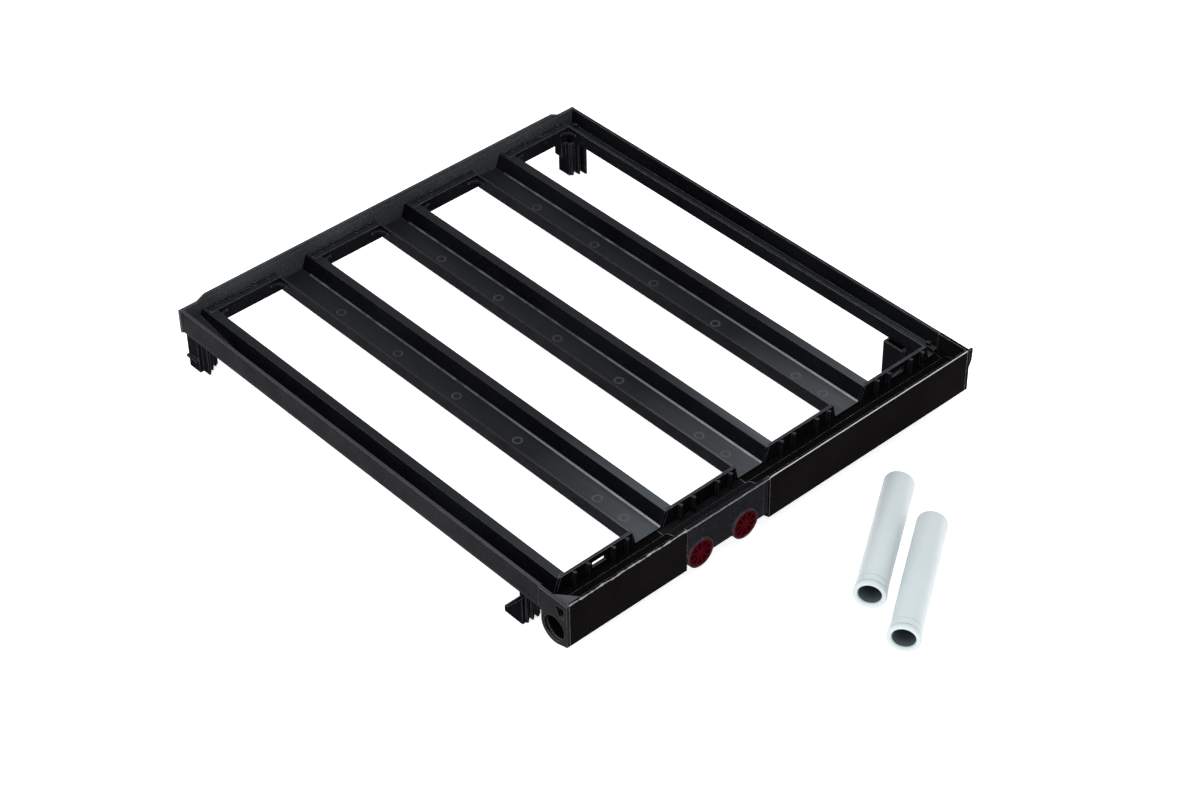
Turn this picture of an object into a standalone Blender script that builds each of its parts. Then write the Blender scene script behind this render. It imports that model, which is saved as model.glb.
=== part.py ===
"""Slatted deck frame with a header tube, two port plugs and two loose coupling tubes.

The frame is a shallow tray of four long openings between channel slats.  The channels
drain to a gutter behind the front fascia, over a header tube that is open at both ends.
Two red plugs close ports in the fascia, and two loose white tubes lie in front of it.
Metres, +Z up.  Places are measured from the frame's front left corner on
the ground, and every object hangs on an empty that stands at that corner.
"""
import math

import bmesh
import bpy
from mathutils import Vector

MM = 0.001
GAP = 0.3 * MM

# Frame
WIDTH = 609.5 * MM
DEPTH = 670 * MM
RIM = 80 * MM
WALL = 4 * MM
SHEET = 2.5 * MM
EDGE = 0.6 * MM
RAIL_DEPTH = 31 * MM
RAIL_FACE = 26 * MM
RAIL_LEAN = 1.5 * MM

# Deck openings, one between each two channels
OPENINGS = 4
OPENING_WIDTH = 90.2 * MM
PITCH = 151.5 * MM
FIRST_OPENING = 40.8 * MM
OPENING_FRONT = 49 * MM
OPENING_BACK = 651 * MM

# Channels, each with a plain wall on its left and a lipped wall on its right
LIP_DROP = 10 * MM
LIP_WIDTH = 11.3 * MM
FLOOR_DROP = 28 * MM
LIPPED_DRAFT = 7.1 * MM
PLAIN_DRAFT = 4.1 * MM
PLAIN_LEAN = 2.3 * MM
CHANNEL_FRONT = 45.8 * MM
CHANNEL_BACK = DEPTH - WALL - GAP
LEDGE_DROP = 20 * MM
LEDGE_WIDTH = 7 * MM

# The left channel's floor rises to a crest at its back end
RAMP_START = 580 * MM
RAMP_END = 657 * MM
CREST_DROP = 11.5 * MM

# Kerbs across the ends of the openings
KERB_OVERHANG = 8 * MM
KERB_REACH = 2.2 * MM
KERB_CLEARANCE = 0.6 * MM
KERB_THICKNESS = 3.5 * MM
KERB_TOE = 7.2 * MM
KERB_TOE_DROP = 12 * MM
BACK_KERB_LIP = 6 * MM
BACK_KERB_FOOT_DROP = 29.5 * MM

# Header tube and fascia
HEADER_RADIUS = 20 * MM
HEADER_BORE = 15.75 * MM
HEADER_AXIS_Y = 20 * MM
HEADER_AXIS_DROP = 42 * MM
FASCIA_DEPTH = 57 * MM
WEB_DROP = 31 * MM
WEB_BACK = 51.7 * MM
END_PLATE_BACK = 44 * MM
FASCIA_FOOT_ANGLE = -108
SEAM_ANGLES = (-80, -75)

# Port block
PORT_BLOCK_START = 170 * MM
PORT_BLOCK_END = 291.7 * MM
PORT_CENTRES = (189 * MM, 255 * MM)
PORT_DROP = 43 * MM
PORT_BOSS_RADIUS = 18.6 * MM
PORT_BORE = 17.1 * MM
PORT_FRONT = -1 * MM
BLOCK_SETBACK = 1 * MM
STEP_START = 283.5 * MM
STEP_DEPTH = 1.6 * MM

# Plugs
PLUG_RADIUS = 16.8 * MM
PLUG_FACE = 4.5 * MM
PLUG_HUB = 4.8 * MM
PLUG_RING = 2.6 * MM
PLUG_SPOKES = 9
PLUG_SPOKE_WIDTH = 1.6 * MM
PLUG_LENGTH = 10 * MM
SEAL_RADIUS = 15.6 * MM
SEAL_THICKNESS = 1.15 * MM
SEAL_START = 1.6 * MM

# Loose coupling tubes
TUBE_LENGTH = 185 * MM
TUBE_RADIUS = 17.6 * MM
TUBE_BORE = 13.6 * MM
COLLAR_RADIUS = 18.8 * MM
COLLAR_LENGTH = 14.5 * MM
TUBE_BEVEL = 1 * MM
TUBE_GROOVE = 1.2 * MM
TUBE_HEADING = math.radians(33.1)
TUBE_ENDS = {"coupling_tube_back": (285.6 * MM, -155 * MM), "coupling_tube_front": (264.1 * MM, -223.5 * MM)}

# Legs
LEG_WIDTH = 25 * MM
LEG_INSET = 4 * MM
LEG_TOP_DROP = RAIL_DEPTH + GAP
FRONT_LEG = (75.5 * MM, 104 * MM)
BACK_LEG = (645 * MM, 665 * MM)
RIB_WIDTH = 3 * MM
RIB_PLACES = (5 * MM, 12 * MM, 19 * MM)
FRONT_RIBS = (2 * MM, 2 * MM, 2 * MM)
BACK_RIBS = (11 * MM, 6 * MM, 2 * MM)
NOTCH_WIDTH = 5 * MM
NOTCH_HEIGHT = 3 * MM
SLOPE_DROPS = (39 * MM, 72 * MM)
SHOULDER_DROP = 20 * MM
SHOULDER_REACH = 7 * MM
SHOULDER_DEPTH = 14 * MM
FLANGE_REACH = 4 * MM
FLANGE_HEIGHTS = (16 * MM, 19 * MM)

# Pegs along the kerbs
PEG_RADIUS = 2.2 * MM
PEG_OFFSETS = (-37 * MM, -18 * MM, 18 * MM, 37 * MM)
FRONT_PEG_Y = 41.5 * MM
BACK_PEG_Y = 663 * MM
PEG_RIB = 1.2 * MM
PEG_LEDGE_DROP = 13 * MM
PEG_TOP_DROP = 9 * MM
SLOT_LENGTH = 19 * MM
SLOT_DROPS = (24 * MM, 17 * MM)
BACK_SLOT_MARGIN = 3 * MM
SLOTTED = (0, OPENINGS - 1)

# Overhang of the front right tip, and of the raised strip on the back wall
TIP = 5.5 * MM
TIP_DROPS = (18 * MM, 26 * MM)
STRIP_START = 37 * MM
STRIP_HEIGHT = 6 * MM
STRIP_RUN = 12 * MM

# Drain hole in the left end plate: its sides from the front and drops from the rim
DRAIN_SIDES = (4.5 * MM, 19 * MM)
DRAIN_DROPS = (6.5 * MM, 21 * MM)
DRAIN_CORNER = 3 * MM

# Clips on the right ledge and the gusset in the front left corner
CLIP_PLACES = {"ledge_clip_front": 52 * MM, "ledge_clip_back": 652 * MM}
CLIP_SIZE = (4 * MM, 5 * MM, 4 * MM)
GUSSET_SIZE = (18 * MM, 22 * MM)
GUSSET_DROPS = (6 * MM, 3 * MM)

ROUND_STEPS = 40
CUT = 1 * MM


def level(drop):
    """Height above the ground of something that lies this far below the rim."""
    return RIM - drop


class Scene:
    """The parts, their cutters, their materials and the corner that they hang on."""

    def __init__(self):
        for obj in list(bpy.data.objects):
            bpy.data.objects.remove(obj, do_unlink=True)
        self.parts = self.collection("slatted_deck_frame")
        self.cutters = self.collection("cutters")
        self.corner = bpy.data.objects.new("frame_corner", None)
        self.parts.objects.link(self.corner)
        self.corner.location = corner_location()
        self.black = self.material("black_plastic", (0.02, 0.021, 0.022), 0.45)
        self.red = self.material("red_plastic", (0.28, 0.01, 0.015), 0.4)
        self.white = self.material("white_plastic", (0.78, 0.8, 0.8), 0.35)
        self.rubber = self.material("black_rubber", (0.012, 0.012, 0.012), 0.7)

    @staticmethod
    def collection(name):
        made = bpy.data.collections.new(name)
        bpy.context.scene.collection.children.link(made)
        return made

    @staticmethod
    def material(name, colour, roughness):
        made = bpy.data.materials.new(name)
        made.use_nodes = True
        shader = made.node_tree.nodes["Principled BSDF"]
        shader.inputs["Base Color"].default_value = (*colour, 1)
        shader.inputs["Roughness"].default_value = roughness
        shader.inputs["Metallic"].default_value = 0
        return made

    def place(self, obj, material=None):
        """Hang an object on the corner, among the parts or, with no material, the cutters."""
        obj.parent = self.corner
        if material:
            obj.data.materials.append(material)
            self.parts.objects.link(obj)
        else:
            obj.hide_render = True
            obj.display_type = "WIRE"
            self.cutters.objects.link(obj)
        return obj


def corner_location():
    """Where the corner stands, so that the whole set is centred on the origin."""
    front = TUBE_ENDS["coupling_tube_front"][1] - COLLAR_RADIUS * math.cos(TUBE_HEADING)
    return (-(WIDTH + TIP) / 2, -(front + DEPTH) / 2, 0)


def arc(centre, radius, start, end, steps=ROUND_STEPS // 4):
    """Points along an arc, in degrees, which an outline keeps as they are."""
    angles = [math.radians(start + (end - start) * step / steps) for step in range(steps + 1)]
    return [Vector((centre[0] + radius * math.cos(a), centre[1] + radius * math.sin(a))) for a in angles]


def circle(centre, radius, steps=ROUND_STEPS):
    """A closed circle of points."""
    return [arc(centre, radius, 0, 360, steps)[:-1]]


def outline(items, radius=EDGE):
    """A closed outline: single corners are rounded, and arcs stay as they are."""
    points = []
    count = len(items)
    for index, item in enumerate(items):
        if isinstance(item, list):
            points.extend(item)
            continue
        before = items[index - 1]
        after = items[(index + 1) % count]
        before = Vector(before[-1] if isinstance(before, list) else before)
        after = Vector(after[0] if isinstance(after, list) else after)
        points.extend(rounded_corner(before, Vector(item), after, radius))
    return points


def rounded_corner(before, here, after, radius, steps=2):
    """Points of a short curve that rounds one corner."""
    back, ahead = before - here, after - here
    reach = radius / math.tan(back.angle(ahead) / 2)
    reach = min(reach, 0.45 * back.length, 0.45 * ahead.length)
    start, end = here + back.normalized() * reach, here + ahead.normalized() * reach
    places = [step / steps for step in range(steps + 1)]
    return [start * (1 - t) ** 2 + here * 2 * t * (1 - t) + end * t ** 2 for t in places]


def extrusion(name, outlines, along, start, end):
    """A solid with a flat outline, run along X, Y or Z from start to end."""
    curve = bpy.data.curves.new(name + "_outline", "CURVE")
    curve.dimensions = "2D"
    curve.fill_mode = "BOTH"
    curve.extrude = (end - start) / 2
    for points in outlines:
        spline = curve.splines.new("POLY")
        spline.points.add(len(points) - 1)
        spline.use_cyclic_u = True
        for place, point in zip(spline.points, points):
            place.co = (point[0], point[1], 0, 1)
    guide = bpy.data.objects.new(name + "_outline", curve)
    bpy.context.scene.collection.objects.link(guide)
    middle = (start + end) / 2
    quarter = math.pi / 2
    guide.rotation_euler = {"X": (quarter, 0, quarter), "Y": (quarter, 0, 0), "Z": (0, 0, 0)}[along]
    guide.location = {"X": (middle, 0, 0), "Y": (0, middle, 0), "Z": (0, 0, middle)}[along]
    bpy.context.view_layer.update()
    evaluated = guide.evaluated_get(bpy.context.evaluated_depsgraph_get())
    mesh = bpy.data.meshes.new_from_object(evaluated)
    mesh.name = name
    weld(mesh)
    solid = bpy.data.objects.new(name, mesh)
    solid.matrix_world = guide.matrix_world.copy()
    bpy.data.objects.remove(guide, do_unlink=True)
    shade(mesh)
    return solid


def weld(mesh):
    """Join the caps of a filled curve to its sides."""
    work = bmesh.new()
    work.from_mesh(mesh)
    bmesh.ops.remove_doubles(work, verts=work.verts, dist=0.000002)
    bmesh.ops.recalc_face_normals(work, faces=work.faces)
    work.to_mesh(mesh)
    work.free()


def shade(mesh):
    """Smooth the round faces and keep the edges."""
    mesh.shade_smooth()
    mesh.set_sharp_from_angle(angle=math.radians(35))


def boxes(name, spans):
    """Separate boxes in one mesh, each given by its lowest and highest corners."""
    work = bmesh.new()
    for low, high in spans:
        low, high = Vector(low), Vector(high)
        made = bmesh.ops.create_cube(work, size=1)["verts"]
        size = high - low
        for vert in made:
            vert.co = Vector(vert.co[axis] * size[axis] for axis in range(3)) + (low + high) / 2
    mesh = bpy.data.meshes.new(name)
    work.to_mesh(mesh)
    work.free()
    return bpy.data.objects.new(name, mesh)


def pegs(name, places, bottom, top):
    """Round pegs with a domed top, standing at the given places."""
    work = bmesh.new()
    for x, y in places:
        made = bmesh.ops.create_cone(work, cap_ends=True, segments=12, radius1=PEG_RADIUS,
                                     radius2=PEG_RADIUS, depth=top - bottom)["verts"]
        bmesh.ops.translate(work, verts=made, vec=(x, y, (top + bottom) / 2))
    rims = [edge for edge in work.edges if all(vert.co.z > top - EDGE for vert in edge.verts)]
    bmesh.ops.bevel(work, geom=rims, offset=PEG_RADIUS * 0.6, segments=2, profile=0.5, affect="EDGES")
    mesh = bpy.data.meshes.new(name)
    work.to_mesh(mesh)
    work.free()
    return bpy.data.objects.new(name, mesh)


def cylinder(name, centre, radius, start, end):
    """A round bar along Y, from start to end, centred at the given X and Z."""
    return extrusion(name, circle(centre, radius), "Y", start, end)


def turned(name, profile, steps=ROUND_STEPS):
    """A turned solid about Z from a closed profile that runs down its outer side."""
    mesh = bpy.data.meshes.new(name)
    count = len(profile)
    edges = [(index, (index + 1) % count) for index in range(count)]
    mesh.from_pydata([(radius, 0, height) for radius, height in profile], edges, [])
    solid = bpy.data.objects.new(name, mesh)
    screw = solid.modifiers.new("turn", "SCREW")
    screw.steps = steps
    screw.render_steps = steps
    screw.use_merge_vertices = True
    screw.merge_threshold = 0.00001
    screw.use_smooth_shade = True
    return solid


def combine(scene, target, other, operation):
    """Cut one solid from another, or join them."""
    scene.place(other)
    change = target.modifiers.new(operation.lower(), "BOOLEAN")
    change.operation = operation
    change.solver = "EXACT"
    change.use_self = True
    change.object = other


def opening_span(index):
    """The left and right sides of one deck opening."""
    left = FIRST_OPENING + index * PITCH
    return left, left + OPENING_WIDTH


def mirrored(points):
    """The same outline, measured from the frame's right side."""
    return [(WIDTH - x, z) for x, z in points]


def build_side_rails(scene):
    """Outer walls: the left one has a foot strip, the right one also has a ledge inside."""
    left = [(RAIL_LEAN, level(0)), (0, level(RAIL_FACE)), (RAIL_LEAN, level(RAIL_FACE)),
            (RAIL_LEAN, level(RAIL_DEPTH)), (WALL, level(RAIL_DEPTH)), (WALL + RAIL_LEAN, level(0))]
    rail = extrusion("left_side_rail", [outline(left)], "Y", END_PLATE_BACK + GAP, CHANNEL_BACK)
    scene.place(rail, scene.black)
    ledge_end = WALL + LEDGE_WIDTH
    right = [(0, level(0)), (0, level(RAIL_DEPTH)), (WALL, level(RAIL_DEPTH)),
             (WALL, level(LEDGE_DROP + SHEET)), (ledge_end, level(LEDGE_DROP + SHEET)),
             (ledge_end, level(LEDGE_DROP)), (WALL + RAIL_LEAN, level(LEDGE_DROP)), (WALL, level(0))]
    rail = extrusion("right_side_rail", [outline(mirrored(right))], "Y", END_PLATE_BACK + GAP, CHANNEL_BACK)
    scene.place(rail, scene.black)


def lipped_wall(edge):
    """Upper and lower outline of a channel's right wall, from an opening's left side."""
    inner = edge - LIP_WIDTH
    foot = inner - LIPPED_DRAFT
    upper = [(edge, level(LIP_DROP)), (inner, level(LIP_DROP)), (foot, level(FLOOR_DROP))]
    lower = [(foot + SHEET, level(FLOOR_DROP + SHEET)), (inner + SHEET, level(LIP_DROP + SHEET)),
             (edge, level(LIP_DROP + SHEET))]
    return upper, lower


def plain_wall(edge):
    """Upper and lower outline of a channel's left wall, from an opening's right side."""
    inner = edge + SHEET
    upper = [(edge, level(LIP_DROP)), (inner, level(LIP_DROP)), (inner + PLAIN_DRAFT, level(FLOOR_DROP))]
    lower = [(edge + PLAIN_LEAN, level(FLOOR_DROP + SHEET))]
    return upper, lower


def trim_ends(scene, solid, start, end, foot):
    """Stop a wall's top short of the kerbs, from start to end across it, above a given foot."""
    top = level(LIP_DROP) + CUT
    front = (CHANNEL_FRONT - CUT, OPENING_FRONT + GAP)
    back = (OPENING_BACK - GAP, CHANNEL_BACK + CUT)
    spans = [((start, near, foot), (end, far, top)) for near, far in (front, back)]
    combine(scene, solid, boxes(solid.name + "_trim", spans), "DIFFERENCE")


def trim_lipped_wall(scene, solid, edge):
    """Make room for the kerbs in a lip."""
    start = edge - KERB_OVERHANG - GAP
    trim_ends(scene, solid, start, edge + CUT, level(LIP_DROP + SHEET) - CUT)


def trim_plain_wall(scene, solid, edge):
    """Make room for the kerbs in a plain wall."""
    end = edge + KERB_REACH + KERB_CLEARANCE
    trim_ends(scene, solid, edge - CUT, end, level(FLOOR_DROP + SHEET) - CUT)


def build_side_channels(scene):
    """The kerbs and floors of the two side channels."""
    edge = opening_span(0)[0]
    upper, lower = lipped_wall(edge)
    section = upper + [(upper[-1][0], level(FLOOR_DROP + SHEET))] + lower
    kerb = extrusion("left_kerb", [outline(section)], "Y", CHANNEL_FRONT, CHANNEL_BACK)
    trim_lipped_wall(scene, scene.place(kerb, scene.black), edge)
    floor_end = upper[-1][0] - GAP
    ramp = [(CHANNEL_FRONT, level(FLOOR_DROP)), (RAMP_START, level(FLOOR_DROP)), (RAMP_END, level(CREST_DROP)),
            (RAMP_END + SHEET, level(CREST_DROP)), (RAMP_END + SHEET, level(FLOOR_DROP)),
            (CHANNEL_BACK, level(FLOOR_DROP)), (CHANNEL_BACK, level(FLOOR_DROP + SHEET)),
            (RAMP_END, level(FLOOR_DROP + SHEET)), (RAMP_END, level(CREST_DROP + SHEET)),
            (RAMP_START, level(FLOOR_DROP + SHEET)), (CHANNEL_FRONT, level(FLOOR_DROP + SHEET))]
    floor = extrusion("left_channel_floor", [outline(ramp)], "X", WALL + RAIL_LEAN + GAP, floor_end)
    scene.place(floor, scene.black)
    edge = opening_span(OPENINGS - 1)[1]
    upper, lower = plain_wall(edge)
    section = upper + [(upper[-1][0], level(FLOOR_DROP + SHEET))] + lower
    kerb = extrusion("right_kerb", [outline(section)], "Y", CHANNEL_FRONT, CHANNEL_BACK)
    trim_plain_wall(scene, scene.place(kerb, scene.black), edge)
    flat = [(CHANNEL_FRONT, level(FLOOR_DROP)), (CHANNEL_BACK, level(FLOOR_DROP)),
            (CHANNEL_BACK, level(FLOOR_DROP + SHEET)), (CHANNEL_FRONT, level(FLOOR_DROP + SHEET))]
    floor_start = upper[-1][0] + GAP
    floor = extrusion("right_channel_floor", [outline(flat)], "X", floor_start, WIDTH - WALL - GAP)
    scene.place(floor, scene.black)


def build_slats(scene):
    """Channel slats between the openings."""
    for index in range(OPENINGS - 1):
        left, right = opening_span(index)[1], opening_span(index + 1)[0]
        plain_upper, plain_lower = plain_wall(left)
        lipped_upper, lipped_lower = lipped_wall(right)
        section = plain_upper + lipped_upper[::-1] + lipped_lower[::-1] + plain_lower
        slat = extrusion(f"channel_slat_{index + 1}", [outline(section)], "Y", CHANNEL_FRONT, CHANNEL_BACK)
        scene.place(slat, scene.black)
        trim_plain_wall(scene, slat, left)
        trim_lipped_wall(scene, slat, right)


def build_back_wall(scene):
    """The wall behind the channels and the raised strip on its top."""
    wall = boxes("back_wall", [((0, DEPTH - WALL, level(RAIL_DEPTH)), (WIDTH, DEPTH, level(0)))])
    scene.place(wall, scene.black)
    low, high = level(0) + GAP, level(-STRIP_HEIGHT)
    end = WIDTH - STRIP_START
    shape = [(STRIP_START - STRIP_RUN, low), (STRIP_START, high), (end, high), (end + STRIP_RUN, low)]
    strip = extrusion("back_rim_strip", [outline(shape)], "Y", DEPTH - WALL + EDGE, DEPTH - EDGE)
    scene.place(strip, scene.black)


def build_kerbs(scene):
    """Kerbs with pegs across both ends of every opening, and slots in the outer ones."""
    for index in range(OPENINGS):
        left, right = opening_span(index)
        centre = (left + right) / 2
        span = (left - KERB_OVERHANG, right + KERB_REACH)
        slotted = index in SLOTTED
        front_kerb(scene, f"front_kerb_{index + 1}", span, centre, slotted)
        back_kerb(scene, f"back_kerb_{index + 1}", span, centre, slotted)


def front_kerb(scene, name, span, centre, slotted):
    """A thin upright wall with a toe under the lipped wall, and ribbed pegs on its gutter side."""
    foot, front = level(WEB_DROP) + GAP, OPENING_FRONT - KERB_THICKNESS
    start, end = span
    section = [(start - KERB_TOE, foot), (end, foot), (end, level(LIP_DROP)), (start, level(LIP_DROP)),
               (start, level(KERB_TOE_DROP))]
    kerb = extrusion(name, [outline(section)], "Y", front, OPENING_FRONT)
    scene.place(kerb, scene.black)
    places = [(centre + offset, FRONT_PEG_Y) for offset in PEG_OFFSETS]
    ribs = [((x - PEG_RIB / 2, y, foot + CUT), (x + PEG_RIB / 2, front + CUT, level(LIP_DROP + CUT)))
            for x, y in places]
    combine(scene, kerb, boxes(name + "_ribs", ribs), "UNION")
    combine(scene, kerb, pegs(name + "_pegs", places, foot, level(LIP_DROP - CUT)), "UNION")
    if slotted:
        low = (centre - SLOT_LENGTH / 2, front - CUT, level(SLOT_DROPS[0]))
        high = (centre + SLOT_LENGTH / 2, OPENING_FRONT + CUT, level(SLOT_DROPS[1]))
        combine(scene, kerb, boxes(name + "_slot", [(low, high)]), "DIFFERENCE")


def back_kerb(scene, name, span, centre, slotted):
    """A lip over a short wall, with a lower ledge behind it that carries pegs."""
    lip_back, ledge = OPENING_BACK + BACK_KERB_LIP, level(PEG_LEDGE_DROP)
    foot = level(BACK_KERB_FOOT_DROP)
    section = [(OPENING_BACK, foot), (OPENING_BACK + SHEET, foot), (OPENING_BACK + SHEET, ledge - SHEET),
               (CHANNEL_BACK, ledge - SHEET), (CHANNEL_BACK, ledge), (lip_back, ledge),
               (lip_back, level(LIP_DROP)), (OPENING_BACK, level(LIP_DROP))]
    kerb = extrusion(name, [outline(section)], "X", *span)
    scene.place(kerb, scene.black)
    places = [(centre + offset, BACK_PEG_Y) for offset in PEG_OFFSETS]
    combine(scene, kerb, pegs(name + "_pegs", places, ledge - CUT, level(PEG_TOP_DROP)), "UNION")
    if slotted:
        low = (centre - SLOT_LENGTH / 2, lip_back + EDGE, ledge - SHEET - CUT)
        high = (centre + SLOT_LENGTH / 2, CHANNEL_BACK - BACK_SLOT_MARGIN, ledge + CUT)
        combine(scene, kerb, boxes(name + "_slot", [(low, high)]), "DIFFERENCE")


def header_centre():
    """The header tube's axis, in Y and Z."""
    return HEADER_AXIS_Y, level(HEADER_AXIS_DROP)


def header_arc(start, end):
    """Part of the header tube's outer side."""
    return arc(header_centre(), HEADER_RADIUS, start, end)


def web_points():
    """The shelf behind the header tube, under the channels' front ends."""
    return [(WEB_BACK, level(WEB_DROP + SHEET)), (WEB_BACK, level(WEB_DROP))]


def crown_angle(height):
    """Where the header tube's outer side reaches a height, in degrees from +Y."""
    return math.degrees(math.asin((height - header_centre()[1]) / HEADER_RADIUS))


def fascia_section():
    """Front wall, header tube and shelf in one outline."""
    shelf = header_arc(SEAM_ANGLES[1], crown_angle(level(WEB_DROP + SHEET)))
    meet = 180 - math.degrees(math.acos((HEADER_AXIS_Y - WALL) / HEADER_RADIUS))
    crown = header_arc(crown_angle(level(WEB_DROP)), meet)
    foot = header_arc(FASCIA_FOOT_ANGLE, SEAM_ANGLES[0])
    return [(0, level(0)), (0, level(FASCIA_DEPTH)), foot, shelf, *web_points(), crown, (WALL, level(0))]


def bore(steps=ROUND_STEPS):
    """The header tube's bore."""
    return circle(header_centre(), HEADER_BORE, steps)[0]


def build_header(scene):
    """The fascia in three lengths, with the header tube behind it and a plate at each end."""
    section = outline(fascia_section())
    left = extrusion("header_left", [section, bore()], "X", WALL + GAP, PORT_BLOCK_START - GAP)
    scene.place(left, scene.black)
    right = extrusion("header_right", [section, bore()], "X", PORT_BLOCK_END + GAP, WIDTH - WALL - GAP)
    scene.place(right, scene.black)
    build_end_plates(scene)
    build_port_block(scene)


def end_plate_outline(heel_drop):
    """An end plate closes the gutter and rings the header tube, with its heel at a given drop."""
    around = header_arc(FASCIA_FOOT_ANGLE, 0)
    return outline([(0, level(0)), (0, level(FASCIA_DEPTH)), around,
                    (HEADER_AXIS_Y + HEADER_RADIUS, level(WEB_DROP)),
                    (END_PLATE_BACK, level(heel_drop)), (END_PLATE_BACK, level(0))])


def build_end_plates(scene):
    """The left plate has a drain hole to the gutter, the right one a tip on the fascia's end."""
    near, far = DRAIN_SIDES
    top, bottom = DRAIN_DROPS
    middle = (near + far) / 2
    drain = outline([(far, level(top)), (near, level(top)), (near, level(bottom)), (middle, level(bottom))],
                    DRAIN_CORNER)
    plate = extrusion("end_plate_left", [end_plate_outline(RAIL_FACE), bore(), drain], "X", 0, WALL)
    scene.place(plate, scene.black)
    plate = extrusion("end_plate_right", [end_plate_outline(WEB_DROP), bore()], "X", WIDTH - WALL, WIDTH)
    scene.place(plate, scene.black)
    root = WIDTH - WALL / 2
    shape = [(root, level(CUT)), (root, level(TIP_DROPS[1])), (WIDTH + CUT, level(TIP_DROPS[1])),
             (WIDTH + TIP - CUT, level(TIP_DROPS[0])), (WIDTH + TIP, level(CUT))]
    ear = extrusion("end_plate_tip", [outline(shape)], "Y", EDGE, WALL - EDGE)
    combine(scene, plate, ear, "UNION")


def build_port_block(scene):
    """The middle length: a plain tube under a wall, with two round bosses for the ports."""
    front, back = BLOCK_SETBACK, WALL + BLOCK_SETBACK
    around = header_arc(-180 + math.degrees(math.acos(1 - front / HEADER_RADIUS)),
                        crown_angle(level(WEB_DROP + SHEET)))
    meet = 180 - math.degrees(math.acos((HEADER_AXIS_Y - back) / HEADER_RADIUS))
    crown = header_arc(crown_angle(level(WEB_DROP)), meet)
    section = outline([(front, level(0)), around, *web_points(), crown, (back, level(0))])
    block = extrusion("port_block", [section], "X", PORT_BLOCK_START, PORT_BLOCK_END)
    scene.place(block, scene.black)
    port_end = HEADER_AXIS_Y - HEADER_RADIUS / 2
    for index, x in enumerate(PORT_CENTRES):
        boss = cylinder(f"port_boss_{index + 1}", (x, level(PORT_DROP)), PORT_BOSS_RADIUS,
                        PORT_FRONT, HEADER_AXIS_Y)
        combine(scene, block, boss, "UNION")
    low, high = (STEP_START, -WALL, -CUT), (PORT_BLOCK_END + CUT, front + STEP_DEPTH, RIM + CUT)
    combine(scene, block, boxes("port_block_step", [(low, high)]), "DIFFERENCE")
    hole = extrusion("port_block_bore", [bore()], "X", PORT_BLOCK_START - CUT, PORT_BLOCK_END + CUT)
    combine(scene, block, hole, "DIFFERENCE")
    for index, x in enumerate(PORT_CENTRES):
        port = cylinder(f"port_bore_{index + 1}", (x, level(PORT_DROP)), PORT_BORE,
                        PORT_FRONT - CUT, port_end)
        combine(scene, block, port, "DIFFERENCE")


def plug_face(name, x):
    """Ring, spokes and hub of a plug's face, as one flat outline with holes."""
    centre = (x, level(PORT_DROP))
    outer = PLUG_RADIUS - PLUG_RING
    holes = []
    for spoke in range(PLUG_SPOKES):
        middle = 360 * (spoke + 0.5) / PLUG_SPOKES
        spans = [180 / PLUG_SPOKES - math.degrees(PLUG_SPOKE_WIDTH / 2 / radius) for radius in (outer, PLUG_HUB)]
        hole = arc(centre, outer, middle - spans[0], middle + spans[0], 4)
        hole += arc(centre, PLUG_HUB, middle + spans[1], middle - spans[1], 2)
        holes.append(hole)
    return extrusion(name, circle(centre, PLUG_RADIUS) + holes, "Y", PORT_FRONT, PORT_FRONT + PLUG_FACE)


def build_plugs(scene):
    """Two plugs with spoked faces, each with a seal in its groove."""
    face_back = PORT_FRONT + PLUG_FACE
    groove, width = SEAL_RADIUS - SEAL_THICKNESS - GAP, 2 * (SEAL_THICKNESS + GAP)
    length = PLUG_LENGTH - PLUG_FACE
    profile = [(0, 0), (PLUG_RADIUS, 0), (PLUG_RADIUS, -SEAL_START), (groove, -SEAL_START),
               (groove, -SEAL_START - width), (PLUG_RADIUS, -SEAL_START - width),
               (PLUG_RADIUS - EDGE, -length), (0, -length)]
    for side, x in zip(("left", "right"), PORT_CENTRES):
        plug = turned(f"port_plug_{side}", profile)
        plug.location = (x, face_back - EDGE, level(PORT_DROP))
        plug.rotation_euler = (math.pi / 2, 0, 0)
        scene.place(plug, scene.red)
        combine(scene, plug, plug_face(f"port_plug_face_{side}", x), "UNION")
        bpy.ops.mesh.primitive_torus_add(major_radius=SEAL_RADIUS, minor_radius=SEAL_THICKNESS,
                                         major_segments=ROUND_STEPS, minor_segments=8)
        seal = bpy.context.object
        seal.name = f"plug_seal_{side}"
        seal.data.shade_smooth()
        for holder in seal.users_collection:
            holder.objects.unlink(seal)
        seal.location = (x, face_back - EDGE + SEAL_START + width / 2, level(PORT_DROP))
        seal.rotation_euler = (math.pi / 2, 0, 0)
        scene.place(seal, scene.rubber)


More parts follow.
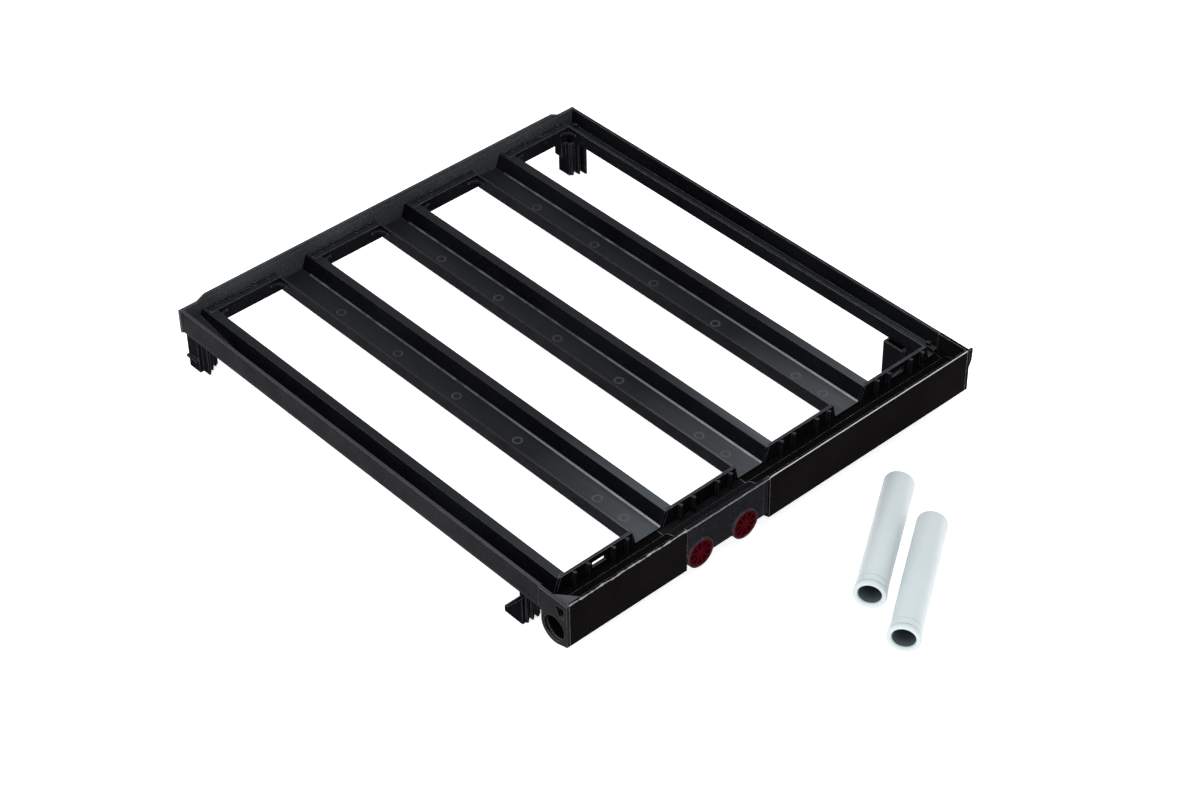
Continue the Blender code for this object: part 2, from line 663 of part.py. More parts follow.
def build_tubes(scene):
    """Loose tubes that lie on the ground, each with a collar behind a groove at its near end."""
    neck, collar_top = TUBE_RADIUS - TUBE_BEVEL, -TUBE_LENGTH + COLLAR_LENGTH
    outer = [(neck, 0), (TUBE_RADIUS, -TUBE_BEVEL), (TUBE_RADIUS, collar_top + TUBE_GROOVE),
             (neck, collar_top + TUBE_GROOVE), (neck, collar_top),
             (COLLAR_RADIUS - EDGE, collar_top), (COLLAR_RADIUS, collar_top - EDGE),
             (COLLAR_RADIUS, -TUBE_LENGTH + TUBE_BEVEL), (COLLAR_RADIUS - TUBE_BEVEL, -TUBE_LENGTH)]
    profile = outer + [(TUBE_BORE, -TUBE_LENGTH), (TUBE_BORE, 0)]
    far = (math.cos(TUBE_HEADING) * TUBE_LENGTH, math.sin(TUBE_HEADING) * TUBE_LENGTH)
    for name, (x, y) in TUBE_ENDS.items():
        tube = turned(name, profile)
        tube.location = (x + far[0], y + far[1], COLLAR_RADIUS)
        tube.rotation_euler = (0, math.pi / 2, TUBE_HEADING)
        scene.place(tube, scene.white)


def across(side, x):
    """A distance from the frame's left or right side, as a place along X."""
    return x if side == "left" else WIDTH - x


def span_across(side, start, end):
    """Two distances from a side, in order along X."""
    return sorted((across(side, start), across(side, end)))


def leg_outline(side, front, back, ribs):
    """A square tube with ribs on its front, seen from above."""
    inner_side = LEG_INSET + LEG_WIDTH
    outer = [(LEG_INSET, back), (LEG_INSET, front)]
    for place, reach in zip(RIB_PLACES, ribs):
        start = LEG_INSET + place
        end = start + RIB_WIDTH
        outer += [(start, front), (start, front - reach), (end, front - reach), (end, front)]
    outer += [(inner_side, front), (inner_side, back)]
    hollow = [(LEG_INSET + SHEET, back - SHEET), (LEG_INSET + SHEET, front + SHEET),
              (inner_side - SHEET, front + SHEET), (inner_side - SHEET, back - SHEET)]
    return [[(across(side, x), y) for x, y in points] for points in (outer, hollow)]


def build_legs(scene):
    """Four ribbed legs with notched feet; the left front one is open towards the outside."""
    top = level(LEG_TOP_DROP)
    for end, (front, back), ribs in (("front", FRONT_LEG, FRONT_RIBS), ("back", BACK_LEG, BACK_RIBS)):
        for side in ("left", "right"):
            leg = extrusion(f"leg_{end}_{side}", leg_outline(side, front, back, ribs), "Z", 0, top)
            scene.place(leg, scene.black)
            notch_foot(scene, leg, side, front - max(ribs), back)
            if end == "back":
                add_shoulder(scene, leg, side, front, back)
            elif side == "left":
                open_leg(scene, leg, front, back)


def notch_foot(scene, leg, side, front, back):
    """Notches in the foot of a leg, between its ribs."""
    spans = []
    for place in RIB_PLACES[:-1]:
        start = LEG_INSET + place + RIB_WIDTH - EDGE
        near, far = span_across(side, start, start + NOTCH_WIDTH)
        spans.append(((near, front - CUT, -CUT), (far, back + CUT, NOTCH_HEIGHT)))
    combine(scene, leg, boxes(leg.name + "_notches", spans), "DIFFERENCE")


def open_leg(scene, leg, front, back):
    """Slope the outer side of a leg down towards its front."""
    before, behind = front - max(FRONT_RIBS) - CUT, back + CUT
    low, high = level(SLOPE_DROPS[0]), level(SLOPE_DROPS[1])
    slope = [(before, low), (back - WALL, high), (behind, high), (behind, RIM), (before, RIM)]
    cutter = extrusion(leg.name + "_slope", [slope], "X", LEG_INSET - CUT, LEG_INSET + LEG_WIDTH - WALL)
    combine(scene, leg, cutter, "DIFFERENCE")


def add_shoulder(scene, leg, side, front, back):
    """A shoulder at the top of a back leg, and a small flange on its outer side."""
    top = level(LEG_TOP_DROP)
    inner_side = LEG_INSET + LEG_WIDTH
    near, far = span_across(side, inner_side - CUT, inner_side + SHOULDER_REACH)
    shoulder = ((near, back - SHOULDER_DEPTH, top - SHOULDER_DROP), (far, back - CUT, top - EDGE))
    near, far = span_across(side, LEG_INSET - FLANGE_REACH, LEG_INSET + CUT)
    flange = ((near, front + CUT, FLANGE_HEIGHTS[0]), (far, back - CUT, FLANGE_HEIGHTS[1]))
    combine(scene, leg, boxes(leg.name + "_shoulder", [shoulder, flange]), "UNION")


def build_trim(scene):
    """Clips on the right rail's ledge and a gusset in the front left corner."""
    low = Vector((WIDTH - WALL - LEDGE_WIDTH + CUT, 0, level(LEDGE_DROP) + GAP))
    for name, y in CLIP_PLACES.items():
        start = low + Vector((0, y, 0))
        scene.place(boxes(name, [(start, start + Vector(CLIP_SIZE))]), scene.black)
    left, front = WALL + RAIL_LEAN + GAP * 4, WALL + GAP * 2
    shape = [(left, front), (left + GUSSET_SIZE[0], front), (left, front + GUSSET_SIZE[1])]
    gusset = extrusion("corner_gusset", [outline(shape)], "Z", level(GUSSET_DROPS[0]), level(GUSSET_DROPS[1]))
    scene.place(gusset, scene.black)


def main():
    """Build every part."""
    scene = Scene()
    build_side_rails(scene)
    build_side_channels(scene)
    build_slats(scene)
    build_back_wall(scene)
    build_kerbs(scene)
    build_header(scene)
    build_plugs(scene)
    build_tubes(scene)
    build_legs(scene)
    build_trim(scene)


main()
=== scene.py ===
"""Looks of the slatted deck frame, its port plugs and its loose tubes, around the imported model.

Every length is in metres and every colour is linear.  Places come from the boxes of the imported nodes.
"""

import math
from collections import namedtuple

import bmesh
import bpy
from mathutils import Matrix, Vector


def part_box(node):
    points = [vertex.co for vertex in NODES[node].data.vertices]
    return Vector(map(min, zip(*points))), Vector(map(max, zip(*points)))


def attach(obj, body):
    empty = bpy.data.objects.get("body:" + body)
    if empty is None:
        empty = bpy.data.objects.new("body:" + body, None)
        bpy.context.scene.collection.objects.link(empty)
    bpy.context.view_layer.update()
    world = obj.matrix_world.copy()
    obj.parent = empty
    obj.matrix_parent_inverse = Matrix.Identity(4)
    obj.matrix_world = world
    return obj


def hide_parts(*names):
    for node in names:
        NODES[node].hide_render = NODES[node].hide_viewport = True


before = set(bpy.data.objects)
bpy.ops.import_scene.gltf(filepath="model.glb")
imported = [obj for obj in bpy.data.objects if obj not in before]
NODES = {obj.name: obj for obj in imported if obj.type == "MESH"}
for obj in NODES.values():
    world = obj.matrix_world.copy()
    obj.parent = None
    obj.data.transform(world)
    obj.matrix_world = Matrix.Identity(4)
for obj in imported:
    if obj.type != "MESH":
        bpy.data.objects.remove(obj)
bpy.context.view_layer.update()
MM = 0.001

# Camera, from the perspective of the frame's right angles: degrees, and millimetres of lens
CAMERA_PLACE = (-1.6316, -1.7501, 2.0504)
CAMERA_HEADING = 41.832
CAMERA_DIP = 39.923
CAMERA_ROLL = -0.802
CAMERA_LENS = 83.54
CAMERA_SENSOR = 36

# Loose tubes
COLLAR_RADIUS = 18.8 * MM
BODY_RADIUS = 17.6 * MM
BAND_RADIUS = 18.1 * MM
BORE_RADIUS = 12.8 * MM
MOUTH_RADIUS = 13.9 * MM
GROOVE_DEPTH = 0.6 * MM
TUBE_HEADING = math.radians(33.1)

# Slats and the kerbs across their ends
LIPPED_FOOT = 42.9 * MM
FILLET_START, FILLET_END = 46.2 * MM, 650 * MM
FILLET_SIZE = 1.5 * MM
BURIED = 0.1 * MM
MARK_RADIUS = 6.2 * MM
MARK_LINE = 24.75 * MM
MARK_PLACES = [83 * MM, 125 * MM] + [(151.5 + 104 * step) * MM for step in range(1, 5)]
KERB_COUNT = 4
KERB_OVERHANG = 8 * MM
KERB_REACH = 2.2 * MM
KERB_LEDGE_DROP = 6.5 * MM
WEB_RADIUS, WEB_THICKNESS, WEB_GAP = 14 * MM, 3 * MM, 0.3 * MM

# Filler under the front end of the right rail
TOE_SIZE = Vector((5 * MM, 9 * MM, 2.9 * MM))
TOE_OUT, TOE_BACK, TOE_DROP = 3 * MM, 41 * MM, 3.2 * MM
TOE_BEVEL = 0.4 * MM

# Studio: the lights' names, places, sizes and watts
FLOOR_SIZE = 30
FLOOR_GLOW = 0.7
LIGHTS = (("key_light", (-0.7, -0.6, 2.6), 1.6, 32), ("fill_light", (-2.4, 0.4, 1.2), 1.4, 10))

SMOOTH_ANGLE = math.radians(32)
LATHE_STEPS = 48
BEAD_STEPS, BEAD_SIDES = 70, 6
BLACK_ROUGHNESS = 0.45

SLATS = sorted(name for name in NODES if name.startswith("channel_slat"))
FLOOR_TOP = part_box("right_channel_floor")[1].z
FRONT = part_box("header_left")[0].y

# Moulded blacks: two tones of the plastic, the painted light on level faces at the front and at the back
# (painted sheen where it is paler than the plastic, painted shade where it is darker, as on the fascia),
# the specular level of upright and of level faces, and how pale the painted highlights on edges are
Black = namedtuple("Black", "dark pale near far shine wear")
CHANNEL = Black((0.0022, 0.0023, 0.0032), (0.006, 0.0062, 0.0078),
                (0.07, 0.077, 0.083), (0.0125, 0.013, 0.0148), (0.01, 0.08), 0.16)
FASCIA = Black((0.004, 0.0034, 0.0036), (0.0075, 0.0063, 0.0067),
               (0.003, 0.003, 0.0031), (0.0025, 0.0025, 0.0025), (0.0, 0.0), 0.6)
PORT_BLOCK = Black((0.0105, 0.0102, 0.012), (0.016, 0.0156, 0.0178),
                   (0.007, 0.007, 0.0075), (0.007, 0.007, 0.0075), (0.0, 0.0), 0.36)
RAIL = Black((0.0058, 0.0058, 0.0068), (0.0098, 0.0098, 0.0114),
             (0.05, 0.05, 0.052), (0.04, 0.04, 0.042), (0.02, 0.08), 0.3)
WALL = Black((0.034, 0.0365, 0.039), (0.052, 0.056, 0.06),
             (0.05, 0.05, 0.05), (0.04, 0.042, 0.045), (0.02, 0.05), 0.14)
FRAME = Black((0.003, 0.0031, 0.004), (0.0075, 0.0078, 0.009),
              (0.034, 0.036, 0.04), (0.014, 0.0148, 0.017), (0.0, 0.06), 0.3)
GUSSET = Black((0.009, 0.009, 0.0095), (0.015, 0.015, 0.0155),
               (0.07, 0.07, 0.072), (0.07, 0.07, 0.072), (0.02, 0.1), 0.3)

# Two tones each: of the plugs, of the webs behind their spokes (a darker red that paints the shade in
# the holes), and of the painted sheen and highlights on black plastic at the front and at the back
PLUG_RED = ((0.034, 0.002, 0.0036), (0.056, 0.003, 0.0056))
WEB_RED_SHADED = ((0.011, 0.0008, 0.0014), (0.022, 0.0012, 0.0024))
MARK_SHEEN = ((0.085, 0.094, 0.1), (0.014, 0.015, 0.017))
FILLET_HIGHLIGHT = ((0.3, 0.32, 0.33), (0.03, 0.032, 0.036))
EDGE_HIGHLIGHT = ((0.3, 0.3, 0.3), (0.3, 0.3, 0.3))
EDGE_HIGHLIGHT_BRIGHT = ((0.5, 0.5, 0.49), (0.5, 0.5, 0.49))


class Look:
    """A material's nodes, with short names for the ones used here."""

    def __init__(self, name, roughness=0.5, specular=0.5):
        self.material = bpy.data.materials.new(name)
        self.material.use_nodes = True
        self.tree = self.material.node_tree
        self.shader = self.tree.nodes["Principled BSDF"]
        self.shader.inputs["Roughness"].default_value = roughness
        self.shader.inputs["Specular IOR Level"].default_value = specular
        self.place = self.node("ShaderNodeTexCoord").outputs["Object"]

    def node(self, kind, **settings):
        """Add a node of a kind, with its settings."""
        made = self.tree.nodes.new(kind)
        for name, value in settings.items():
            setattr(made, name, value)
        return made

    def feed(self, socket, value):
        """Link a socket, or set its value."""
        if isinstance(value, bpy.types.NodeSocket):
            self.tree.links.new(value, socket)
        elif isinstance(value, tuple) and len(value) == 3 and socket.type == "RGBA":
            socket.default_value = (*value, 1)
        else:
            socket.default_value = value

    def stretched(self, scale):
        """Object coordinates, scaled by axis."""
        made = self.node("ShaderNodeMapping")
        self.feed(made.inputs["Vector"], self.place)
        made.inputs["Scale"].default_value = scale
        return made.outputs[0]

    def noise(self, scale, detail, vector=None):
        """Soft noise over the object's coordinates, or over others."""
        made = self.node("ShaderNodeTexNoise")
        self.feed(made.inputs["Vector"], vector or self.place)
        made.inputs["Scale"].default_value = scale
        made.inputs["Detail"].default_value = detail
        return made.outputs["Fac"]

    def product(self, first, second):
        """One value times another."""
        made = self.node("ShaderNodeMath", operation="MULTIPLY")
        for socket, value in zip(made.inputs, (first, second)):
            self.feed(socket, value)
        return made.outputs[0]

    def span(self, value, low, high, to_low=0.0, to_high=1.0):
        """Map a value from one range to another, held at both ends."""
        made = self.node("ShaderNodeMapRange")
        for name, item in (("Value", value), ("From Min", low), ("From Max", high),
                           ("To Min", to_low), ("To Max", to_high)):
            self.feed(made.inputs[name], item)
        return made.outputs[0]

    def mix(self, share, first, second):
        """Blend two colours; a share of 1 gives the second."""
        made = self.node("ShaderNodeMix", data_type="RGBA")
        blend = {socket.identifier: socket for socket in made.inputs}
        self.feed(blend["Factor_Float"], share)
        self.feed(blend["A_Color"], first)
        self.feed(blend["B_Color"], second)
        return {socket.identifier: socket for socket in made.outputs}["Result_Color"]

    def split(self, vector):
        """A vector's parts."""
        made = self.node("ShaderNodeSeparateXYZ")
        self.feed(made.inputs[0], vector)
        return made.outputs

    def bump(self, height, distance, strength, normal=None):
        """The normal of a surface roughened by a height, over another normal if there is one."""
        made = self.node("ShaderNodeBump")
        made.inputs["Strength"].default_value = strength
        made.inputs["Distance"].default_value = distance
        self.feed(made.inputs["Height"], height)
        if normal:
            self.feed(made.inputs["Normal"], normal)
        return made.outputs[0]

    def edges(self, radius):
        """How far the surface turns within a radius, from 0 on a flat to 1 on an edge.

        The rounded normal comes with it.
        """
        rounded = self.node("ShaderNodeBevel", samples=4)
        rounded.inputs["Radius"].default_value = radius
        flat = self.node("ShaderNodeNewGeometry").outputs["Normal"]
        dot = self.node("ShaderNodeVectorMath", operation="DOT_PRODUCT")
        self.feed(dot.inputs[0], rounded.outputs[0])
        self.feed(dot.inputs[1], flat)
        return self.span(dot.outputs["Value"], 0.98, 0.8), rounded.outputs[0]


def scaled(colour, times):
    """A colour, so many times as bright."""
    return tuple(times * part for part in colour)


def moulded_black(name, black):
    """Moulded black plastic: fine grain, painted sheen and shade on level faces changing towards the back,
    painted highlights on edges.
    """
    look = Look(name, BLACK_ROUGHNESS)
    geometry = look.node("ShaderNodeNewGeometry")
    up = look.split(geometry.outputs["Normal"])["Z"]
    depth = look.split(look.place)["Y"]
    cloud = look.noise(9, 4)
    speckle = look.noise(520, 3)
    body = look.mix(look.span(cloud, 0.35, 0.7), black.dark, black.pale)
    flecks = look.product(look.span(speckle, 0.56, 0.74), 0.5)
    body = look.mix(flecks, body, scaled(black.pale, 3.2))
    # Painted light on level faces: a sheen that is paler at the front and fades towards the back, and a
    # painted shade where the tone is darker than the plastic, as on the fascia and the port block
    level_light = look.mix(look.span(depth, FRONT + 60 * MM, FRONT + 230 * MM), black.near, black.far)
    streak = look.noise(60, 3, look.stretched((1, 0.08, 1)))
    level = look.product(look.span(up, 0.7, 0.95), look.span(streak, 0.3, 0.7, 0.6, 1.0))
    body_with_level_light = look.mix(level, body, level_light)
    look.feed(look.shader.inputs["Specular IOR Level"], look.span(up, 0.5, 0.9, *black.shine))
    # Painted highlights on the edges, paler on edges that face up, where the light falls
    edge, rounded = look.edges(0.8 * MM)
    upper = look.span(up, -0.2, 0.25, 0.25, 1.0)
    edge_glint_share = look.product(edge, look.span(look.noise(160, 3), 0.35, 0.65, 0.45, 1.0))
    edge_highlight = (black.wear, black.wear, 1.03 * black.wear)
    look.feed(look.shader.inputs["Base Color"], look.mix(look.product(edge_glint_share, upper), body_with_level_light, edge_highlight))
    rough = look.span(look.noise(45, 4), 0.3, 0.7, BLACK_ROUGHNESS - 0.07, BLACK_ROUGHNESS + 0.1)
    look.feed(look.shader.inputs["Roughness"], rough)
    grain = look.bump(look.noise(1400, 2), 0.05 * MM, 0.5, rounded)
    look.feed(look.shader.inputs["Normal"], look.bump(cloud, 0.8 * MM, 0.3, grain))
    return look.material


def red_plastic(name, dark, pale):
    """Deep red moulded plastic, with painted highlights on its edges."""
    look = Look(name, 0.42, 0.0)
    tone = look.mix(look.noise(300, 3), dark, pale)
    edge, rounded = look.edges(0.6 * MM)
    look.feed(look.shader.inputs["Base Color"], look.mix(edge, tone, scaled(pale, 3.2)))
    look.feed(look.shader.inputs["Roughness"], look.span(look.noise(200, 3), 0.3, 0.7, 0.35, 0.55))
    look.feed(look.shader.inputs["Normal"], look.bump(look.noise(900, 3), 0.05 * MM, 0.5, rounded))
    return look.material


def white_plastic():
    """Cool white plastic of the tubes, smudged, with painted highlights on its edges."""
    look = Look("white_plastic", 0.38)
    tone = look.mix(look.noise(14, 4), (0.50, 0.55, 0.555), (0.58, 0.63, 0.635))
    smudge = look.mix(look.span(look.noise(35, 5), 0.68, 0.85), tone, (0.36, 0.4, 0.41))
    edge, rounded = look.edges(0.5 * MM)
    look.feed(look.shader.inputs["Base Color"], look.mix(edge, smudge, (0.68, 0.74, 0.75)))
    look.feed(look.shader.inputs["Roughness"], look.span(look.noise(60, 3), 0.3, 0.7, 0.3, 0.48))
    look.feed(look.shader.inputs["Normal"], look.bump(look.noise(500, 3), 0.04 * MM, 0.4, rounded))
    return look.material


def bore_shade():
    """The tubes' bores, grey with painted shade."""
    look = Look("bore_shade", 0.5, 0.2)
    tone = look.mix(look.noise(60, 3), (0.075, 0.095, 0.105), (0.12, 0.145, 0.155))
    look.feed(look.shader.inputs["Base Color"], tone)
    return look.material


def painted_sheen_black(name, near, far):
    """Black plastic with a painted sheen, brighter at its front and duller towards the back."""
    look = Look(name, 0.35, 0.2)
    depth = look.split(look.place)["Y"]
    share = look.span(depth, FRONT + 55 * MM, FRONT + 330 * MM)
    patches = look.span(look.noise(70, 4), 0.35, 0.65, 0.0, 0.6)
    tone = look.mix(share, near, far)
    look.feed(look.shader.inputs["Base Color"], look.mix(patches, tone, scaled(near, 0.5)))
    return look.material


def rubber():
    """Matt black rubber of the seals."""
    look = Look("seal_rubber", 0.7)
    tone = look.mix(look.noise(250, 3), (0.008, 0.008, 0.008), (0.022, 0.022, 0.023))
    look.feed(look.shader.inputs["Base Color"], tone)
    look.feed(look.shader.inputs["Normal"], look.bump(look.noise(1600, 3), 0.05 * MM, 0.6))
    return look.material


def dress(material, names):
    """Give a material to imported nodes."""
    for name in names:
        slots = NODES[name].material_slots
        if not slots:
            NODES[name].data.materials.append(material)
        for slot in slots:
            slot.material = material


def dress_nodes():
    """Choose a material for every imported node, and return the one of the channels."""
    def begins(start):
        return [name for name in NODES if name.startswith(start)]

    channels = begins("channel_slat") + [name for name in NODES if name.endswith("channel_floor")]
    groups = (("fascia_black", FASCIA, ["header_left", "header_right", "end_plate_right"]),
              ("port_block_black", PORT_BLOCK, ["port_block"]),
              ("rail_black", RAIL, ["left_side_rail", "end_plate_left"]),
              ("wall_black", WALL, ["back_wall", "back_rim_strip"]),
              ("gusset_black", GUSSET, ["corner_gusset"]))
    plugs, seals, tubes = begins("port_plug"), begins("plug_seal"), begins("coupling_tube")
    others = set(NODES) - set(channels + plugs + seals + tubes)
    for name, black, members in groups:
        dress(moulded_black(name, black), members)
        others -= set(members)
    dress(moulded_black("frame_black", FRAME), others)
    dress(red_plastic("red_plastic", *PLUG_RED), plugs)
    dress(rubber(), seals)
    dress(white_plastic(), tubes)
    channel = moulded_black("channel_black", CHANNEL)
    dress(channel, channels)
    return channel


def skin(work, rings):
    """Join each ring of vertices to the next."""
    for before, after in zip(rings, rings[1:]):
        for index, corner in enumerate(before):
            other = (index + 1) % len(before)
            work.faces.new((corner, before[other], after[other], after[index]))


def solid(work, rings):
    """Join rings of vertices, and close both ends."""
    skin(work, rings)
    work.faces.new(rings[0])
    work.faces.new(rings[-1])


def circle(count):
    """The cosine and sine of angles evenly round a circle."""
    angles = [2 * math.pi * step / count for step in range(count)]
    return [(math.cos(angle), math.sin(angle)) for angle in angles]


def lathe(work, centre, profile):
    """Turn a profile of (radius, height) about a vertical line through a point."""
    centre = Vector(centre)
    skin(work, [[work.verts.new(centre + Vector((radius * x, radius * y, height)))
                 for x, y in circle(LATHE_STEPS)] for radius, height in profile])


def piece(name, work, material, body="frame", place=None):
    """Make a mesh piece that rides on a body, with the material it is given."""
    bmesh.ops.recalc_face_normals(work, faces=work.faces)
    mesh = bpy.data.meshes.new(name)
    work.to_mesh(mesh)
    work.free()
    mesh.shade_smooth()
    mesh.set_sharp_from_angle(angle=SMOOTH_ANGLE)
    mesh.materials.append(material)
    made = bpy.data.objects.new(name, mesh)
    bpy.context.scene.collection.objects.link(made)
    if place:
        made.matrix_world = place
    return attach(made, body)


def tube_profile(length):
    """Profiles of a loose tube: its outside from the far end round into the mouth, and its bore."""
    body, band, rim, bore = BODY_RADIUS, BAND_RADIUS, COLLAR_RADIUS, BORE_RADIUS
    groove = body - GROOVE_DEPTH
    outer = [(body - 1.2 * MM, length), (body - 0.35 * MM, length - 0.4 * MM), (body, length - 1.5 * MM),
             (body, 15.6 * MM), (groove, 15.4 * MM), (groove, 14.4 * MM), (band, 14.2 * MM),
             (band, 6.4 * MM), (groove, 6.1 * MM), (groove, 5.1 * MM), (rim - 0.3 * MM, 4.8 * MM),
             (rim, 4.2 * MM), (rim, 1.8 * MM), (rim - 0.5 * MM, 0.6 * MM), (rim - 1.7 * MM, 0.02 * MM)]
    mouth = [(MOUTH_RADIUS, 0.5 * MM), (bore + 0.3 * MM, 1.8 * MM), (bore, 2.6 * MM)]
    return outer + mouth, [mouth[-1], (bore, length - 0.8 * MM)]


def loose_tubes(white, dark):
    """The coupling tubes with their rims, bands and grooves; their bores are darker, with painted shade."""
    heading = Vector((math.cos(TUBE_HEADING), math.sin(TUBE_HEADING), 0))
    across = Vector((heading.y, heading.x, 0))
    turn = heading.to_track_quat("Z", "Y").to_matrix().to_4x4()
    height = Vector((0, 0, COLLAR_RADIUS))
    for side in ("back", "front"):
        node = f"coupling_tube_{side}"
        low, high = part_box(node)
        near = Vector((low.x, low.y, 0)) + across * COLLAR_RADIUS + height
        far = Vector((high.x, high.y, 0)) - across * BODY_RADIUS + height
        outer, inner = tube_profile((far - near).length)
        place = Matrix.Translation(near) @ turn
        work = bmesh.new()
        lathe(work, (0, 0, 0), outer)
        lathe(work, (0, 0, 0), [inner[-1], outer[0]])
        shell = piece(f"tube_shell_{side}", work, white, f"tube_{side}", place)
        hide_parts(node)
        work = bmesh.new()
        lathe(work, (0, 0, 0), inner)
        piece(f"tube_bore_{side}", work, dark, f"tube_{side}", place)


def plug_webs(material):
    """The web behind the spokes of each plug, with a raised ring round its hub, in a darker red that paints
    the shade in the holes.
    """
    for side in ("left", "right"):
        low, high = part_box(f"port_plug_{side}")
        middle = (low + high) / 2
        radius = (high.x - low.x) / 2
        web = [(0.01 * MM, -1.1 * MM), (radius * 0.9, -1.3 * MM), (radius * 0.9, -1.6 * MM)]
        ring = [(radius * 0.5, -1.2 * MM), (radius * 0.52, -0.35 * MM), (radius * 0.62, -0.35 * MM),
                (radius * 0.64, -1.2 * MM)]
        work = bmesh.new()
        lathe(work, (0, 0, 0), web)
        lathe(work, (0, 0, 0), ring)
        place = Matrix.Translation((middle.x, low.y, middle.z)) @ Matrix.Rotation(math.pi / 2, 4, "X")
        piece(f"plug_web_{side}", work, material, f"plug_{side}", place)


def foot_fillets(material):
    """Fillets where each slat's floor turns up into its lipped wall, pale with a painted highlight."""
    section = [(-FILLET_SIZE, -BURIED), (-FILLET_SIZE, 0.06 * MM), (-0.2 * MM, 0.45 * MM),
               (0.55 * MM, FILLET_SIZE), (0.8 * MM, FILLET_SIZE), (0.4 * MM, -BURIED)]
    for index, name in enumerate(SLATS):
        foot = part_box(name)[0].x + LIPPED_FOOT
        work = bmesh.new()
        solid(work, [[work.verts.new((foot + x, FRONT + y, FLOOR_TOP + z)) for x, z in section]
                     for y in (FILLET_START, FILLET_END)])
        piece(f"foot_fillet_{index + 1}", work, material)


def shelf_toe(material):
    """The toe of the header's shelf under the right rail's front end."""
    plate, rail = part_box("end_plate_right")[0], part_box("right_side_rail")[0]
    middle = Vector((plate.x - TOE_OUT, FRONT + TOE_BACK, rail.z - TOE_DROP)) + TOE_SIZE / 2
    work = bmesh.new()
    for vert in bmesh.ops.create_cube(work, size=1)["verts"]:
        vert.co = vert.co * TOE_SIZE + middle
    bmesh.ops.bevel(work, geom=work.edges[:], offset=TOE_BEVEL, segments=1, affect="EDGES")
    piece("shelf_toe", work, material)


def kerb_fillets(material):
    """Rounded webs in the corners between the back kerbs and the lips beside them."""
    arc = [math.pi / 2 * step / 8 for step in range(9)]
    for index in range(1, KERB_COUNT + 1):
        low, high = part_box(f"back_kerb_{index}")
        front, top = low.y - WEB_GAP, high.z - KERB_LEDGE_DROP
        work = bmesh.new()
        for corner, inward in ((low.x + KERB_OVERHANG, 1), (high.x - KERB_REACH, -1)):
            start = corner + inward * WEB_GAP
            outline = [(start + inward * WEB_RADIUS * (1 - math.cos(angle)),
                        front - WEB_RADIUS * (1 - math.sin(angle))) for angle in arc]
            outline.append((start, front))
            solid(work, [[work.verts.new((x, y, z)) for x, y in outline] for z in (top - WEB_THICKNESS, top)])
        piece(f"kerb_fillets_{index}", work, material)


def rim_bead(name, node, material, radius, rough):
    """A bead along the top front edge of a length of fascia, pale with a painted highlight: moulding flash on
    the left, a plain rim elsewhere.

    A rough bead swells and drifts more along its length.
    """
    low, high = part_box(node)
    drift = rough * 0.5 * MM
    work = bmesh.new()
    rings = []
    for step in range(BEAD_STEPS + 1):
        share = step / BEAD_STEPS
        swell = math.sin(17 * share) * math.sin(61 * share + 1) + 0.5 * math.sin(143 * share)
        girth = radius * max(0.35, 1 + rough * swell)
        centre = Vector((low.x + (high.x - low.x) * share, low.y + 0.6 * MM + drift * math.sin(29 * share),
                         high.z - BURIED + drift * math.sin(47 * share)))
        rings.append([work.verts.new(centre + Vector((0, girth * y, girth * z)))
                      for y, z in circle(BEAD_SIDES)])
    solid(work, rings)
    piece(name, work, material)


def ejector_marks(material):
    """Round marks that the mould's ejector pins leave along the slats' floors, pale with a painted sheen."""
    disc = [(MARK_RADIUS * 0.62, 0.05 * MM), (MARK_RADIUS * 0.7, 0.22 * MM), (MARK_RADIUS * 0.9, 0.3 * MM),
            (MARK_RADIUS, 0.12 * MM), (MARK_RADIUS * 1.03, -BURIED)]
    for index, name in enumerate(SLATS):
        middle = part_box(name)[0].x + MARK_LINE
        work = bmesh.new()
        for along in MARK_PLACES:
            lathe(work, (middle, FRONT + along, FLOOR_TOP), disc)
        piece(f"ejector_marks_{index + 1}", work, material)


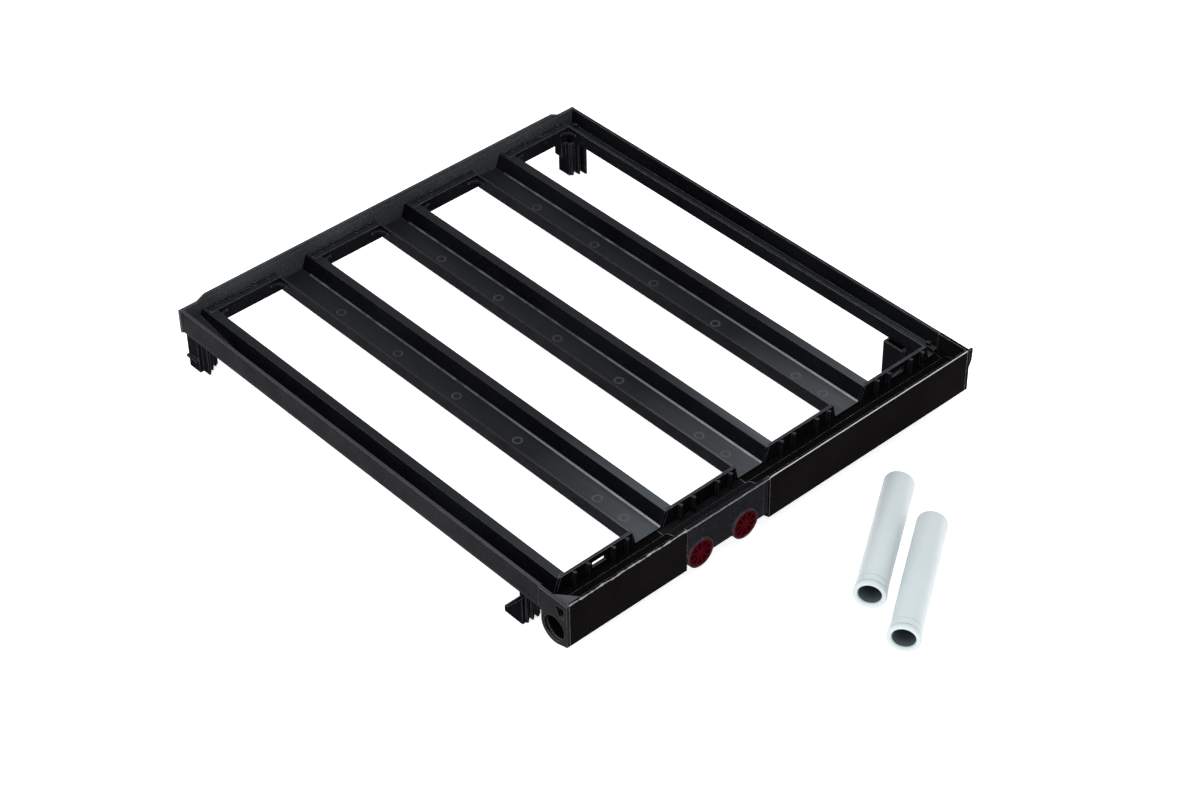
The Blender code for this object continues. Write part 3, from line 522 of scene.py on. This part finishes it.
def stage():
    """A pale floor, lit evenly enough that hardly a shadow shows on it."""
    bpy.ops.mesh.primitive_plane_add(size=FLOOR_SIZE, location=(0, 0, -0.2 * MM))
    floor = bpy.context.object
    floor.name = "studio_floor"
    look = Look("studio_floor", 0.9, 0.1)
    tone = look.mix(look.noise(0.7, 2), (0.9, 0.9, 0.9), (0.93, 0.93, 0.93))
    look.feed(look.shader.inputs["Base Color"], tone)
    look.shader.inputs["Emission Color"].default_value = (1, 1, 1, 1)
    look.shader.inputs["Emission Strength"].default_value = FLOOR_GLOW
    floor.data.materials.append(look.material)


def lights():
    """Soft light from above and the left, and a pale room."""
    world = bpy.data.worlds.new("studio")
    bpy.context.scene.world = world
    world.use_nodes = True
    room = world.node_tree.nodes["Background"]
    room.inputs["Color"].default_value = (0.93, 0.965, 1, 1)
    room.inputs["Strength"].default_value = 0.85
    for name, place, size, power in LIGHTS:
        data = bpy.data.lights.new(name, "AREA")
        data.shape = "SQUARE"
        data.size = size
        data.energy = power
        lamp = bpy.data.objects.new(name, data)
        bpy.context.scene.collection.objects.link(lamp)
        lamp.location = place
        lamp.rotation_euler = (-Vector(place)).to_track_quat("-Z", "Y").to_euler()


def camera():
    """The camera, at the photograph's viewing angle."""
    data = bpy.data.cameras.new("camera")
    data.lens = CAMERA_LENS
    data.sensor_width = CAMERA_SENSOR
    seen = bpy.data.objects.new("camera", data)
    bpy.context.scene.collection.objects.link(seen)
    turn = (Matrix.Rotation(math.radians(-CAMERA_HEADING), 4, "Z")
            @ Matrix.Rotation(math.radians(90 - CAMERA_DIP), 4, "X")
            @ Matrix.Rotation(math.radians(CAMERA_ROLL), 4, "Z"))
    seen.matrix_world = Matrix.Translation(CAMERA_PLACE) @ turn
    bpy.context.scene.camera = seen


def main():
    stage()
    lights()
    camera()
    channel = dress_nodes()
    ejector_marks(painted_sheen_black("mark_black", *MARK_SHEEN))
    foot_fillets(painted_sheen_black("fillet_highlight", *FILLET_HIGHLIGHT))
    loose_tubes(white_plastic(), bore_shade())
    plug_webs(red_plastic("red_web_shaded", *WEB_RED_SHADED))
    shelf_toe(channel)
    kerb_fillets(channel)
    # Painted highlights along the fascia's top edges
    edge_highlight = painted_sheen_black("edge_highlight_black", *EDGE_HIGHLIGHT)
    bright = painted_sheen_black("edge_highlight_bright", *EDGE_HIGHLIGHT_BRIGHT)
    rim_bead("fascia_flash_left", "header_left", edge_highlight, 0.75 * MM, 0.6)
    rim_bead("fascia_rim_port", "port_block", edge_highlight, 0.4 * MM, 0.3)
    rim_bead("fascia_rim_right", "header_right", bright, 0.65 * MM, 0.1)
    bpy.context.scene.view_settings.view_transform = "Standard"


main()
